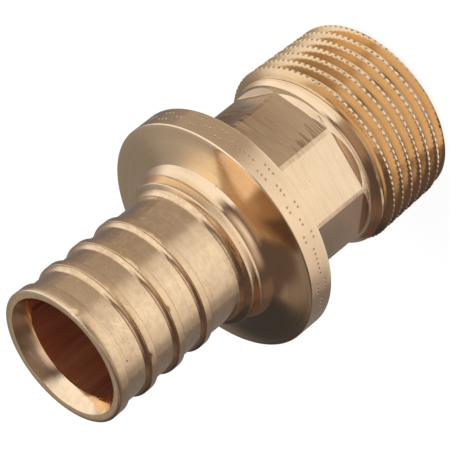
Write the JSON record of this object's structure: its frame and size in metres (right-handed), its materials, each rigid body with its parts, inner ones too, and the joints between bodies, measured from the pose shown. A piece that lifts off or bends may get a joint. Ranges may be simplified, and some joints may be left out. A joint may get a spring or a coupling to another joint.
{
  "type": "pex male adapter",
  "caption": "One-piece brass pipe adapter: taper male thread, eight wrench flats, stop flange and a ribbed spigot with a through bore for plastic pipe.",
  "frame": {"origin": "centre of the male thread end face, where the part stands", "axes": "+Z along the bore axis, from the thread end to the mouth of the ribbed spigot"},
  "size_m": [0.033, 0.033, 0.058],
  "materials": {
    "brass": "satin, turned and milled, lightly oxidised"
  },
  "bodies": {
    "root": {"adapter_body": "brass"}
  },
  "joints": []
}
